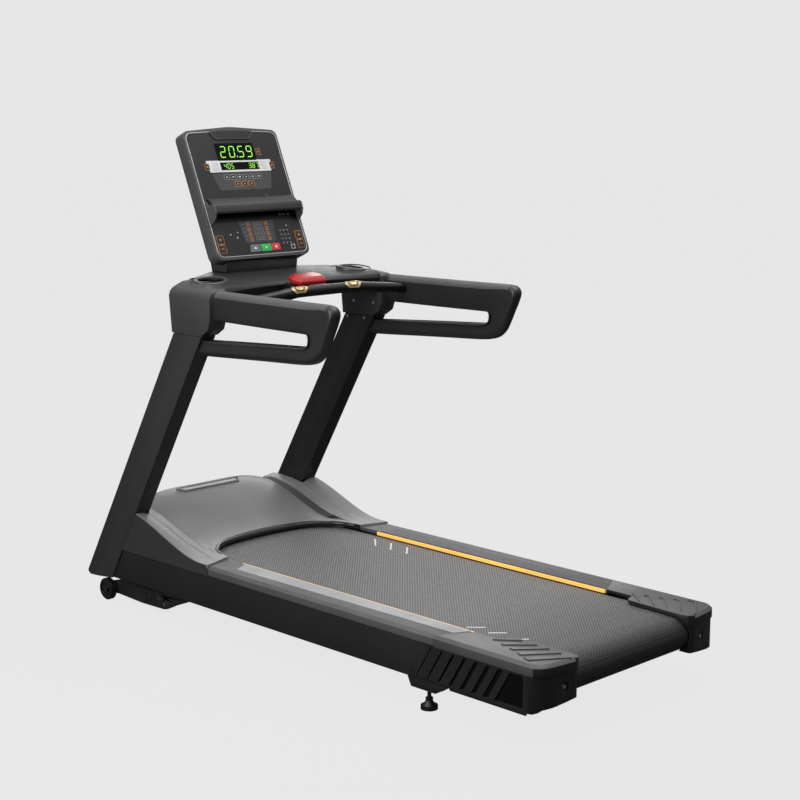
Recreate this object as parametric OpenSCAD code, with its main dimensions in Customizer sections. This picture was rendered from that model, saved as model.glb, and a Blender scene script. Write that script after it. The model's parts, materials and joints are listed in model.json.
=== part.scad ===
// Treadmill with incline lift, upright console and looped handrails.
// Millimetres. Z is up, +Y points at the console end, X runs across the belt.
// Z = 0 is the floor, X = 0 the centre line, Y = 0 the middle of the length.

/* [Running deck] */
// Width of the running belt
belt_w = 580; // [480:1:600]
// Thickness of the running belt
belt_t = 4; // [2:0.5:5]
// Height of the walking surface above the floor
walk_z = 215; // [205:1:225]
// Radius of the roller drums
drum_r = 46; // [38:1:48]
// Position of the rear roller axis
rear_y = -984; // [-990:1:-960]
// Position of the front roller axis
front_y = 640; // [620:1:660]
// Thickness of the deck board
deck_t = 25; // [18:1:28]

/* [Base frame] */
// Height of the underside of the side beams
beam_z0 = 86; // [84:1:96]
// Height of the top of the side beams
beam_z1 = 197; // [190:1:197]
// Wall of the welded tubes
tube_wall = 3; // [2:0.5:4]
// Height of the rail tops
rail_z = 230; // [228:1:234]
// Half width over the side rails
rail_x = 407; // [404:1:410]
// Inner edge of the side rails
rail_in = 300; // [296:1:310]

/* [Uprights] */
// Half width over the upright outer faces
post_x = 407; // [404:1:409]
// Inner face of the uprights
post_in = 347; // [340:1:360]
// Depth of an upright along the floor
post_d = 142; // [120:1:150]
// Top of the uprights
post_top = 976; // [940:1:976]

/* [Console] */
// Lean of the console face away from the user
console_tilt = 23.3; // [15:0.1:35]
// Half width of the console face
face_x = 195; // [180:1:200]
// Height of the console face
face_h = 431; // [400:1:440]
// Depth of the console housing
shell_d = 45; // [35:1:60]

/* [Handrails] */
// Thickness of a handrail loop
hand_t = 43; // [36:1:48]
// Outward flare of the handrails
flare = 2.9; // [0:0.1:5]
// Radius of the cross grip bar
grip_r = 17; // [14:0.5:20]
// Radius of the cup wells
cup_r = 40; // [34:0.5:42]

/* [Moving parts] */
// Radius of the transport wheels
wheel_r = 38; // [30:1:38]
// Radius of the pulley on the front roller
roll_pul_r = 56; // [50:1:58]
// Radius of the pulley on the motor shaft
motor_pul_r = 24; // [20:1:28]
// Radius of the drive motor can
motor_r = 76; // [60:1:80]

/* [Hidden] */
$fn = 64;
fit = 0.06;
axle_r = 10;
roll_z = walk_z - belt_t - drum_r;
belt_r = drum_r + belt_t;
beam_in = 364;
beam_out = 402;
lift_y = 630;
lift_z = 62;
wheel_y = 938;
motor_y = 850;
motor_z = 200;
face_y = 551;
face_z = 1214;
foot_x = 384;
foot_y = -604;
jack_x = 165;
jack_y = 780;
cross_ys = [-560, -40, 500];
rake = 0.589;
// stations across and along the motor cover
cols = concat([-406.5, -386, -365.5, -345, -343, -321, -300], [for (i = [0 : 26]) -285 + 570 * i / 26],
  [300, 321, 343, 345, 365.5, 386, 406.5]);
rows = 26;
ncol = len(cols);

// rear face of the raked upright at height z
function post_rear(z) = 381 + (974 - z) * rake;
// smooth step from 0 to 1
function ease(t) = let (c = min(1, max(0, t))) c * c * (3 - 2 * c);
// top surface of the motor cover
function cover_mid(y) = 238 + 120 * ease((y - 540) / 360);
function cover_side(y) = 235 + 110 * ease((y - 400) / 420);
function cover_dip(y) = 28 * ease((y - 560) / 340);
function cover_hump(u) = u < 300 ? 0.42 * max(0, (u - 285) / 15) : 0.42 + 0.58 * ease((u - 300) / 92);
function cover_nose(y) = 150 * pow(max(0, (y - 912) / 70), 1.7);
function cover_z(x, y) = let (low = cover_mid(y) - cover_dip(y) * pow(min(1, abs(x) / 285), 4))
  low + (cover_side(y) - cover_mid(y) + cover_dip(y)) * cover_hump(abs(x)) - cover_nose(y);
// rear edge of the motor cover
function cover_arch(u) = 186 * pow(max(0, 1 - pow(u, 7)), 0.62) - 44 * u * u * min(1, 6.43 * (1 - u));
function cover_rear(x) = abs(x) > 296 ? 400 - (abs(x) - 296) * 0.27 : 402 + cover_arch(abs(x) / 296);
// front edge of the motor cover
function cover_front(x) = abs(x) > 344 ? post_rear(cover_side(750)) - 2 : 982 - 22 * pow(abs(x) / 344, 2);

// polygon in Y and Z carried along X
module along_x(x0, x1, pts) {
  translate([x0, 0, 0])
    rotate([90, 0, 90])
      linear_extrude(x1 - x0)
        polygon(pts);
}

// polygon in X and Z carried along Y
module along_y(y0, y1, pts) {
  translate([0, y1, 0])
    rotate([90, 0, 0])
      linear_extrude(y1 - y0)
        polygon(pts);
}

// round bar along X
module rod_x(x0, x1, y, z, r) {
  translate([x0, y, z])
    rotate([0, 90, 0])
      cylinder(h = x1 - x0, r = r);
}

module block(x0, x1, y0, y1, z0, z1) {
  translate([x0, y0, z0])
    cube([x1 - x0, y1 - y0, z1 - z0]);
}

// the same piece on the left hand side
module left() {
  mirror([1, 0, 0])
    children();
}

module both() {
  children();
  left()
    children();
}

// console frame: x across, z up the face, -y towards the user
module on_console() {
  translate([0, face_y, face_z])
    rotate([-console_tilt, 0, 0])
      children();
}

// ---- base frame ----

module side_beam() {
  t = tube_wall;
  difference() {
    union() {
      along_x(beam_in, beam_out, [[-978, beam_z0], [post_rear(beam_z0), beam_z0],
        [post_rear(beam_z1), beam_z1], [-978, beam_z1]]);
      along_x(beam_in, beam_in + 10, [[lift_y - 40, beam_z0 + 1], [lift_y - 18, 46],
        [lift_y + 18, 46], [lift_y + 40, beam_z0 + 1]]);
      along_x(390, 398, [[478, beam_z0 + 1], [552, 58], [604, 34], [622, 29], [642, 29],
        [662, 44], [674, beam_z0 + 1]]);
    }
    along_x(beam_in + t, beam_out - t, [[-974, beam_z0 + t], [post_rear(beam_z0) - 8, beam_z0 + t],
      [post_rear(beam_z1) - 8, beam_z1 - t], [-974, beam_z1 - t]]);
    rod_x(beam_in - 1, beam_in + 11, lift_y, lift_z, 8 + fit);
    rod_x(389, 399, lift_y, lift_z, 8 + fit);
  }
}

module side_beam_right() {
  color("#262626")
    side_beam();
}

module side_beam_left() {
  color("#262626")
    left()
      side_beam();
}

module cross_bar(y) {
  difference() {
    block(-beam_in, beam_in, y - 20, y + 20, 128, 168);
    block(-beam_in + 4, beam_in - 4, y - 17, y + 17, 131, 165);
  }
}

module cross_members() {
  color("#1f1f1f")
    for (y = cross_ys)
      cross_bar(y);
}

module saddle(x0) {
  difference() {
    block(x0, x0 + 26, motor_y - 52, motor_y + 52, 96, 150);
    rod_x(x0 - 1, x0 + 27, motor_y, motor_z, motor_r);
  }
}

module motor_pan() {
  color("#1b1b1b") {
    difference() {
      union() {
        block(-beam_in, beam_in, 560, 896, 92, 96);
        block(-343, 343, 896, 958, 92, 96);
        block(-343, 343, 954, 958, 96, 168);
      }
      translate([jack_x, jack_y, 90])
        cylinder(h = 8, r = 16);
      block(212, 248, 953, 959, 112, 140);
    }
    saddle(-205);
    saddle(20);
  }
}

module drive_motor() {
  color("#3a3a3c")
    difference() {
      union() {
        rod_x(-215, 55, motor_y, motor_z, motor_r);
        block(-150, -10, motor_y - 34, motor_y + 34, motor_z + 40, motor_z + motor_r + 20);
      }
      rod_x(-216, 56, motor_y, motor_z, 9.5);
      for (a = [0 : 30 : 330])
        translate([44, motor_y + 52 * cos(a), motor_z + 52 * sin(a)])
          rotate([0, 90, 0])
            cylinder(h = 12, r = 6);
    }
}

module motor_shaft() {
  color("#9a9a9c") {
    rod_x(-346, 104, motor_y, motor_z, 9);
    rod_x(-346, -343.5, motor_y, motor_z, motor_pul_r + 3);
    rod_x(-343.5, -318.5, motor_y, motor_z, motor_pul_r);
    rod_x(-318.5, -316, motor_y, motor_z, motor_pul_r + 3);
  }
}

module flywheel() {
  color("#4a4a4c")
    difference() {
      rod_x(64, 98, motor_y, motor_z, 84);
      rod_x(63, 99, motor_y, motor_z, 9.05);
      difference() {
        rod_x(84, 99, motor_y, motor_z, 68);
        rod_x(83, 100, motor_y, motor_z, 24);
      }
    }
}

// closed belt around two pulleys seen along X
module loop_solid(x0, x1, r1, r2) {
  d = sqrt(pow(motor_y - front_y, 2) + pow(motor_z - roll_z, 2));
  lean = atan2(motor_z - roll_z, motor_y - front_y);
  a = acos((r1 - r2) / d);
  rod_x(x0, x1, front_y, roll_z, r1);
  rod_x(x0, x1, motor_y, motor_z, r2);
  along_x(x0, x1, [
    [front_y + r1 * cos(lean + a), roll_z + r1 * sin(lean + a)],
    [front_y + r1 * cos(lean - a), roll_z + r1 * sin(lean - a)],
    [motor_y + r2 * cos(lean - a), motor_z + r2 * sin(lean - a)],
    [motor_y + r2 * cos(lean + a), motor_z + r2 * sin(lean + a)]]);
}

module drive_belt() {
  color("#111111")
    difference() {
      loop_solid(-343, -319, roll_pul_r + 4, motor_pul_r + 4);
      loop_solid(-344, -318, roll_pul_r + 0.4, motor_pul_r + 0.4);
    }
}

module drum(y) {
  difference() {
    rod_x(-belt_w / 2, belt_w / 2, y, roll_z, drum_r - fit);
    difference() {
      rod_x(-belt_w / 2 + 18, belt_w / 2 - 18, y, roll_z, drum_r - 7);
      rod_x(-belt_w / 2, belt_w / 2, y, roll_z, axle_r + 6);
    }
    rod_x(-belt_w / 2 - 1, belt_w / 2 + 1, y, roll_z, axle_r + fit);
  }
}

module front_roller() {
  color("#8d8d90")
    drum(front_y);
}

module rear_roller() {
  color("#8d8d90")
    drum(rear_y);
}

module roller_pulley() {
  color("#a2a2a4")
    difference() {
      union() {
        rod_x(-346, -343.5, front_y, roll_z, roll_pul_r + 3);
        rod_x(-343.5, -318.5, front_y, roll_z, roll_pul_r);
        rod_x(-318.5, -316, front_y, roll_z, roll_pul_r + 3);
        rod_x(-316, -belt_w / 2, front_y, roll_z, 26);
      }
      rod_x(-347, -belt_w / 2 + 1, front_y, roll_z, axle_r + fit);
    }
}

module roller_axles() {
  color("#b4b4b6")
    for (y = [front_y, rear_y])
      rod_x(-beam_in + 1, beam_in - 1, y, roll_z, axle_r);
}

module roller_mounts() {
  color("#2d2d2f") {
    both()
      for (y = [front_y, rear_y])
        difference() {
          block(beam_in - 15, beam_in, y - 26, y + 26, roll_z - 26, roll_z + 26);
          rod_x(beam_in - 16, beam_in - 0.8, y, roll_z, axle_r + 0.05);
        }
    both()
      block(304, beam_in - 15, -1010, -1003, roll_z - 14, roll_z + 12);
  }
}

module motor_controller() {
  color("#5a5c5e") {
    block(214, 330, 700, 890, 96, 128);
    for (i = [0 : 7])
      block(222 + 13 * i, 226 + 13 * i, 706, 884, 128, 152);
  }
}

module power_inlet() {
  color("#101010") {
    difference() {
      union() {
        block(205, 255, 958, 961, 106, 146);
        block(214, 246, 930, 958, 114, 138);
      }
      block(217, 243, 940, 962, 117, 135);
    }
    for (x = [222.5, 230, 237.5])
      block(x - 1, x + 1, 940, 956, 123, 129);
  }
}

module incline_jack() {
  color("#343638")
    difference() {
      union() {
        translate([jack_x, jack_y, 97])
          cylinder(h = 120, r = 24);
        block(jack_x - 30, jack_x + 30, jack_y - 30, jack_y + 30, 217, 257);
        translate([jack_x + 2, jack_y - 62, 150])
          cylinder(h = 67, r = 27);
        block(jack_x - 26, jack_x + 28, jack_y - 86, jack_y - 30, 217, 249);
      }
      translate([jack_x, jack_y, 96])
        cylinder(h = 124, r = 12.4);
    }
}

module jack_screw() {
  color("#b9babb") {
    translate([jack_x, jack_y, 74])
      cylinder(h = 140, r = 12);
    translate([jack_x, jack_y, 66.6])
      cylinder(h = 7.4, r = 15);
  }
}

module lift_arm() {
  along_x(376, 386, [[lift_y - 16, lift_z - 12], [lift_y - 4, 36], [lift_y + 14, 24],
    [lift_y + 128, 21], [wheel_y - 41, 26], [wheel_y + 8, 20], [wheel_y + 18, 30],
    [wheel_y + 18, 48], [wheel_y + 4, 62], [wheel_y - 43, 75], [lift_y + 60, 84],
    [lift_y, 83], [lift_y - 16, 74]]);
  along_x(386, 388, [[lift_y + 54, 24], [lift_y + 128, 23], [lift_y + 128, 74], [lift_y + 54, 80]]);
  for (p = [[712, 46], [736, 38], [736, 60]])
    rod_x(388, 392, p[0], p[1], 6);
  rod_x(352, 402, lift_y, lift_z, 8);
  rod_x(386, 411, wheel_y, wheel_r, 6);
  rod_x(410.6, 413, wheel_y, wheel_r, 11);
}

module lift_frame() {
  color("#1d1d1f") {
    both()
      lift_arm();
    rod_x(-376, 376, lift_y + 150, 50, 16);
    rod_x(-376, 376, wheel_y - 26, 38, 12);
  }
}

module transport_wheel() {
  difference() {
    union() {
      rod_x(388, 410, wheel_y, wheel_r, wheel_r - 3);
      rod_x(391, 407, wheel_y, wheel_r, wheel_r);
    }
    rod_x(387, 411, wheel_y, wheel_r, 6 + fit);
    difference() {
      rod_x(407.5, 411, wheel_y, wheel_r, 26);
      rod_x(407, 411, wheel_y, wheel_r, 14);
    }
  }
}

module transport_wheel_right() {
  color("#151515")
    transport_wheel();
}

module transport_wheel_left() {
  color("#151515")
    left()
      transport_wheel();
}

module foot_brackets() {
  color("#1a1a1a")
    both()
      difference() {
        along_x(beam_in + 2, beam_out, [[foot_y - 84, beam_z0], [foot_y - 40, 58],
          [foot_y + 56, 58], [foot_y + 70, beam_z0]]);
        translate([foot_x, foot_y, 50])
          cylinder(h = 34, r = 6.4);
      }
}

module levelling_foot() {
  translate([foot_x, foot_y, 0])
    cylinder(h = 12, r = 25);
  translate([foot_x, foot_y, 12])
    cylinder(h = 14, r1 = 20, r2 = 9);
  translate([foot_x, foot_y, 26])
    cylinder(h = 8, r = 11);
  translate([foot_x, foot_y, 34])
    cylinder(h = 48, r = 6);
}

module levelling_foot_right() {
  color("#141414")
    levelling_foot();
}

module levelling_foot_left() {
  color("#141414")
    left()
      levelling_foot();
}

// ---- running deck ----

module deck_board() {
  color("#5b4a37")
    block(-belt_w / 2 + 2, belt_w / 2 - 2, rear_y + 58, front_y - 62, walk_z - belt_t - deck_t,
      walk_z - belt_t);
}

module deck_cushions() {
  color("#2a2a2a")
    both()
      for (y = cross_ys)
        translate([236, y, 168])
          cylinder(h = walk_z - belt_t - deck_t - 168, r = 18);
}

module belt_solid(w, r) {
  rod_x(-w, w, front_y, roll_z, r);
  rod_x(-w, w, rear_y, roll_z, r);
  block(-w, w, rear_y, front_y, roll_z - r, roll_z + r);
}

module running_belt() {
  color("#47484a")
    difference() {
      belt_solid(belt_w / 2, belt_r);
      belt_solid(belt_w / 2 + 1, drum_r);
    }
}

module side_rail() {
  intersection() {
    along_y(-720, 410, [[rail_in, 217], [rail_in, rail_z - 3], [rail_in + 3, rail_z],
      [rail_x - 10, rail_z], [rail_x, rail_z - 9], [rail_x, beam_z1 + 3], [rail_x - 3, beam_z1],
      [rail_in + 34, beam_z1], [rail_in + 34, 217]]);
    translate([0, 0, 150])
      linear_extrude(100)
        polygon([[rail_in, 398], [rail_x, 369.5], [rail_x, -640], [rail_in, -700]]);
  }
}

module side_rail_right() {
  color("#4c4e50")
    side_rail();
}

module side_rail_left() {
  color("#4c4e50")
    left()
      side_rail();
}

module rail_tread_strips() {
  color("#8c8f92")
    both()
      translate([0, 0, rail_z])
        linear_extrude(1)
          polygon([[rail_in + 4, 304], [364, 275], [350, -664], [rail_in + 4, -690]]);
}

module rail_light_strips() {
  color("#f0a020")
    both()
      block(rail_in - 5, rail_in, -694, 310, 217.5, rail_z - 2);
}

// ---- rear end caps ----

module slat_gap(y, w) {
  along_x(beam_out - 1, rail_x + 1, [[y, 192], [y + 57, 98], [y + 57 - w, 98], [y - w, 192]]);
}

module edge_cut(p, q) {
  d = q - p;
  translate([p[0], p[1], 0])
    rotate([0, 0, atan2(d[1], d[0])])
      along_x(-4, norm(d) + 4, [[1, rail_z - 9.9], [1, rail_z + 1], [-11.1, rail_z + 1]]);
}

module end_cap() {
  outline = [[rail_x, -636], [rail_x, -992], [404, -1006], [396, -1020], [382, -1030], [360, -1037],
    [317, -1043], [276, -1047.2]];
  difference() {
    union() {
      translate([0, 0, beam_z1])
        linear_extrude(rail_z - beam_z1)
          polygon([[rail_x, -640.5], [rail_x, -992], [404, -1006], [396, -1020], [382, -1030],
            [360, -1037], [317, -1043], [276, -1047.2], [262, -1045], [252, -1036], [247, -1014],
            [247, -990], [256, -818], [263, -808], [rail_in, -796], [rail_in, -700.5]]);
      translate([0, 0, 84])
        linear_extrude(beam_z1 - 84)
          polygon([[rail_x - 0.5, -530], [rail_x - 0.5, -988], [403, -1003], [394, -1017],
            [380, -1027], [356, -1034], [317, -1040], [276, -1044.5], [264, -1043], [256, -1034],
            [256, -984], [350, -984], [350, -530]]);
    }
    translate([0, 0, 80])
      linear_extrude(137)
        polygon([[rail_in + 3, -500], [beam_out + 0.5, -500], [beam_out + 0.5, -980], [396, -998],
          [380, -1012], [352, -1020], [rail_in + 3, -1024]]);
    block(240, rail_in + 4, -984, -500, 80, 219);
    rod_x(240, rail_in + 4, rear_y, roll_z, belt_r + 3);
    along_y(-1060, -983.9, [[420, 80], [420, 88], [402, 92], [384, 104], [300, 110], [250, 116],
      [250, 80]]);
    along_x(240, rail_x + 3, [[-1060, 80], [-1060, 130], [-1046, 122], [-1034, 104], [-1018, 92],
      [-990, 84], [-990, 80]]);
    along_x(beam_out - 1, rail_x + 2, [[-640, beam_z1], [-600, beam_z1], [-530, 70], [-490, 70],
      [-490, 240], [-640, 240]]);
    along_x(beam_out - 1, rail_x + 2, [[-600, beam_z1], [-541, 98], [-500, 98], [-500, beam_z1]]);
    along_x(beam_out - 1, rail_x + 2, [[-705, 83], [-700, 96], [-500, 96], [-500, 83]]);
    for (i = [0 : 7])
      slat_gap(-629 - 42.5 * i, 4 + 2.4 * i);
    along_x(beam_out - 1, rail_x + 1, [[-937, 192], [-880, 98], [-962, 98], [-974, 108], [-974, 192]]);
    block(297, 326, -1050, -1037, 143, 170);
    for (i = [0 : len(outline) - 2])
      edge_cut(outline[i], outline[i + 1]);
  }
}

module end_cap_right() {
  color("#3b3c3e")
    end_cap();
}

module end_cap_left() {
  color("#3b3c3e")
    left()
      end_cap();
}

// ---- motor cover ----

module motor_cover() {
  top = [for (j = [0 : rows]) for (x = cols)
    let (y = cover_rear(x) + (cover_front(x) - cover_rear(x)) * j / rows) [x, y, cover_z(x, y)]];
  low = [for (j = [0 : rows]) for (x = cols)
    let (y = cover_rear(x) + (cover_front(x) - cover_rear(x)) * j / rows)
      [x, y, j == 0 ? 220 : cover_z(x, y) - 4]];
  n = ncol * (rows + 1);
  upper = [for (j = [0 : rows - 1]) for (i = [0 : ncol - 2])
    each [[j * ncol + i, (j + 1) * ncol + i, (j + 1) * ncol + i + 1],
      [j * ncol + i, (j + 1) * ncol + i + 1, j * ncol + i + 1]]];
  under = [for (f = upper) [f[2] + n, f[1] + n, f[0] + n]];
  ends = [for (i = [0 : ncol - 2])
    each [[i, i + 1, i + 1 + n], [i, i + 1 + n, i + n],
      [rows * ncol + i + 1, rows * ncol + i, rows * ncol + i + n],
      [rows * ncol + i + 1, rows * ncol + i + n, rows * ncol + i + 1 + n]]];
  flanks = [for (j = [0 : rows - 1])
    each [[(j + 1) * ncol, j * ncol, j * ncol + n], [(j + 1) * ncol, j * ncol + n, (j + 1) * ncol + n],
      [j * ncol + ncol - 1, (j + 1) * ncol + ncol - 1, (j + 1) * ncol + ncol - 1 + n],
      [j * ncol + ncol - 1, (j + 1) * ncol + ncol - 1 + n, j * ncol + ncol - 1 + n]]];
  color("#56585a")
    polyhedron(concat(top, low), concat(upper, under, ends, flanks));
}

module cover_plate() {
  color("#707274")
    translate([0, 868, cover_mid(868) + 0.8])
      rotate([12.5, 0, 0])
        linear_extrude(2)
          polygon([[-128, 10], [128, 10], [112, -10], [-112, -10]]);
}

module motor_side_covers() {
  curve = [for (i = [0 : 12]) let (y = 748 - 29 * i) [y, cover_side(y) - 6.5]];
  color("#333436")
    both()
      along_x(beam_out - 1, rail_x - 0.5, concat([[372, beam_z1], [post_rear(beam_z1) - 0.5, beam_z1],
        [post_rear(cover_side(750) - 6.5) - 0.5, cover_side(750) - 6.5]], curve, [[386, 228], [373, 218]]));
}

// ---- uprights ----

module upright() {
  t = tube_wall;
  f = post_d - 4;
  difference() {
    along_x(post_in, post_x - 4, [[post_rear(84), 84], [990, 75], [1028, 73], [1038, 78],
      [post_rear(86) + f, 86], [post_rear(post_top) + f, post_top],
      [post_rear(post_top), post_top]]);
    along_x(post_in + t, post_x - 4 - t, [[post_rear(88) + t, 88], [post_rear(88) + f - t, 88],
      [post_rear(post_top) + f - t, post_top + 0.01], [post_rear(post_top) + t, post_top + 0.01]]);
  }
}

module upright_right() {
  color("#1e1e20")
    upright();
}

module upright_left() {
  color("#1e1e20")
    left()
      upright();
}

module upright_skins() {
  f = post_d - 4;
  color("#303134")
    both() {
      along_x(post_x - 4, post_x, [[post_rear(84), 84], [990, 75], [1028, 73], [1041, 77],
        [post_rear(86) + post_d, 86], [post_rear(post_top) + post_d, post_top],
        [post_rear(post_top), post_top]]);
      along_x(post_in, post_x - 4, [[post_rear(86) + f, 86], [post_rear(86) + post_d, 86],
        [post_rear(post_top) + post_d, post_top], [post_rear(post_top) + f, post_top]]);
    }
}

module frame_screws() {
  color("#77787a")
    both() {
      for (y = [424, 508])
        rod_x(post_in - 2.5, post_in, y, 966, 5);
      for (y = [372, 470])
        rod_x(338.5, 341, y, 1024, 5);
      translate([311.5, -1037, 156])
        rotate([90, 0, 0])
          cylinder(h = 2.5, r = 5);
    }
}

// ---- cowl ----

module cowl_corner() {
  intersection() {
    along_x(341, 409, [[528, 977], [379, 977], [346, 998], [334, 1030], [334, 1118], [342, 1126],
      [372, 1134], [505, 1146], [532, 1138], [542, 1118]]);
    along_y(300, 600, [[341, 900], [409, 900], [409, 1096], [403, 1110], [390, 1122],
      [368, 1134], [341, 1146]]);
  }
}

module cowl_right() {
  color("#2c2d2f")
    difference() {
      cowl_corner();
      translate([310, 448, 1066])
        cylinder(h = 100, r = cup_r + 4);
    }
}

module cowl_left() {
  color("#2c2d2f")
    left()
      difference() {
        cowl_corner();
        translate([310, 448, 1066])
          cylinder(h = 100, r = cup_r + 4);
      }
}

module cowl_slab(x, pts) {
  along_x(x - 0.5, x + 0.5, pts);
}

module cowl_bridge() {
  side = [[345, 1064], [340, 1112], [346, 1126], [372, 1134], [505, 1146], [532, 1138],
    [542, 1118], [530, 1064]];
  wing = [[392, 1080], [378, 1116], [388, 1126], [560, 1148], [640, 1148], [652, 1136], [640, 1080]];
  color("#2a2b2d")
    difference() {
      union() {
        hull() {
          cowl_slab(340.5, side);
          cowl_slab(150, wing);
        }
        hull() {
          cowl_slab(150, wing);
          cowl_slab(-150, wing);
        }
        hull() {
          cowl_slab(-150, wing);
          cowl_slab(-340.5, side);
        }
      }
      both()
        translate([310, 448, 1066])
          cylinder(h = 100, r = cup_r + 4);
      block(-255, 255, 402, 520, 1086, 1119);
      block(-148, 148, 520, 628, 1086, 1130);
    }
}

module cup_wells() {
  color("#0e0e0e")
    both()
      translate([310, 448, 1066])
        difference() {
          cylinder(h = 76, r = cup_r + 3.6);
          translate([0, 0, 3])
            cylinder(h = 76, r = cup_r);
        }
}

// ---- handrails ----

module hand_loop() {
  difference() {
    along_x(-hand_t / 2, hand_t / 2, [[332, 1124], [-236, 1122], [-252, 1118], [-262, 1106],
      [-261, 1092], [-212, 996], [-196, 974], [-172, 958], [-142, 948], [-112, 943],
      [post_rear(911) - 1.8, 911], [post_rear(962) - 1.8, 962], [376, 974], [346, 994], [332, 1030]]);
    along_x(-hand_t, hand_t, [[262, 1030], [-96, 1031], [-101, 1027], [-102, 1003], [-98, 992],
      [-88, 987], [362, 963], [370, 966], [366, 974], [300, 1022], [284, 1029]]);
  }
}

module handrail_right() {
  color("#3a3b3d")
    translate([378.5, 333, 0])
      rotate([0, 0, flare])
        translate([0, -333, 0])
          hand_loop();
}

module handrail_left() {
  color("#3a3b3d")
    left()
      translate([378.5, 333, 0])
        rotate([0, 0, flare])
          translate([0, -333, 0])
            hand_loop();
}

module grip_bar() {
  bend = 152;
  drop = 15;
  span = 359.5 - bend;
  color("#161616") {
    rod_x(-bend, bend, 249, 1104, grip_r);
    both() {
      translate([bend, 249, 1104])
        sphere(r = grip_r);
      translate([bend, 249, 1104])
        rotate([0, 90 + atan2(drop, span), 0])
          cylinder(h = span, r = grip_r);
    }
  }
}

module pulse_plates() {
  color("#c8a45a")
    both()
      difference() {
        rod_x(84, 146, 249, 1104, grip_r + 2.2);
        rod_x(83, 147, 249, 1104, grip_r + 0.05);
        block(80, 150, 220, 280, 1080, 1101);
      }
}

module stop_base() {
  color("#121212")
    difference() {
      along_x(-62, 62, [[300, 1092], [300, 1112], [366, 1123], [376, 1118], [377.9, 1116], [387.2, 1092]]);
      translate([0, 334, 1118])
        rotate([9.5, 0, 0])
          cylinder(h = 40, r = 9, center = true);
    }
}

module stop_button() {
  color("#d3202a")
    translate([0, 334, 1118])
      rotate([9.5, 0, 0]) {
        translate([0, 0, 5])
          linear_extrude(11)
            polygon([[-65, -6], [-55, -33], [55, -33], [65, -6], [55, 30], [-55, 30]]);
        hull() {
          translate([0, 0, 15.9])
            linear_extrude(0.2)
              polygon([[-65, -6], [-55, -33], [55, -33], [65, -6], [55, 30], [-55, 30]]);
          translate([0, 0, 29])
            linear_extrude(1)
              polygon([[-51, -4], [-44, -22], [44, -22], [51, -4], [44, 22], [-44, 22]]);
        }
        translate([0, 0, -12])
          cylinder(h = 18, r = 8.5);
      }
}

// ---- console ----

module console_neck() {
  color("#1c1c1e")
    along_x(-158, 158, [[560, 1148], [636, 1148], [650, 1206], [614, 1240], [584.5, 1172],
      [556, 1183]]);
}

module console_outline(w, z0, z1, arch) {
  hull() {
    translate([-w + 26, z0 + 26])
      circle(r = 26);
    translate([w - 26, z0 + 26])
      circle(r = 26);
    translate([-w + 24, z1 - 24])
      circle(r = 24);
    translate([w - 24, z1 - 24])
      circle(r = 24);
    translate([0, z1 - 40 + arch])
      scale([3, 1])
        circle(r = 40);
  }
}

module console_shell() {
  color("#3d3f41")
    on_console()
      difference() {
        translate([0, shell_d, 0])
          rotate([90, 0, 0])
            linear_extrude(shell_d)
              console_outline(face_x + 9, -24, face_h + 2, 12);
        translate([0, 3, 0])
          rotate([90, 0, 0])
            linear_extrude(4)
              console_outline(face_x + 0.6, -14.6, face_h - 5.4, 8);
        translate([-face_x + 10, 7, 0])
          cube([2 * face_x - 20, shell_d - 11, face_h - 30]);
      }
}

module key_hole(x, z, w, h) {
  translate([x - w / 2 - 0.5, -3, z - h / 2 - 0.5])
    cube([w + 1, 8, h + 1]);
}

module console_face() {
  color("#232426")
    on_console()
      difference() {
        translate([0, 3, 0])
          rotate([90, 0, 0])
            linear_extrude(4)
              console_outline(face_x, -14, face_h - 6, 8);
        key_hole(14, 9, 44, 26);
        key_hole(57, 10, 36, 24);
        for (z = [14, 46]) {
          key_hole(-172, z, 26, 26);
          key_hole(172, z, 26, 26);
        }
      }
}

module display_windows() {
  color("#0b0f0b")
    on_console() {
      translate([-80, -3, 326])
        cube([160, 2, 56]);
      translate([0, -1, 0])
        rotate([90, 0, 0])
          linear_extrude(2)
            polygon([[-140, 323], [140, 323], [132, 283], [-132, 283]]);
    }
}

module reading_shelf() {
  color("#2b2c2e")
    on_console()
      along_x(-192, 192, [[-1, 172], [-8, 158], [-34, 150], [-38, 156], [-43, 154], [-41, 130],
        [-36, 124], [-30, 126], [-8, 132], [-1, 112]]);
}

module key_cap(x, z, w, h) {
  translate([x - w / 2, -3.2, z - h / 2])
    cube([w, 4.2, h]);
}

module start_key() {
  color("#2fae4c")
    on_console()
      key_cap(14, 9, 44, 26);
}

module stop_key() {
  color("#d8333a")
    on_console()
      key_cap(57, 10, 36, 24);
}

module incline_down_key() {
  color("#2a2b2d")
    on_console()
      key_cap(-172, 14, 26, 26);
}

module incline_up_key() {
  color("#2a2b2d")
    on_console()
      key_cap(-172, 46, 26, 26);
}

module speed_down_key() {
  color("#2a2b2d")
    on_console()
      key_cap(172, 14, 26, 26);
}

module speed_up_key() {
  color("#2a2b2d")
    on_console()
      key_cap(172, 46, 26, 26);
}

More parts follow.
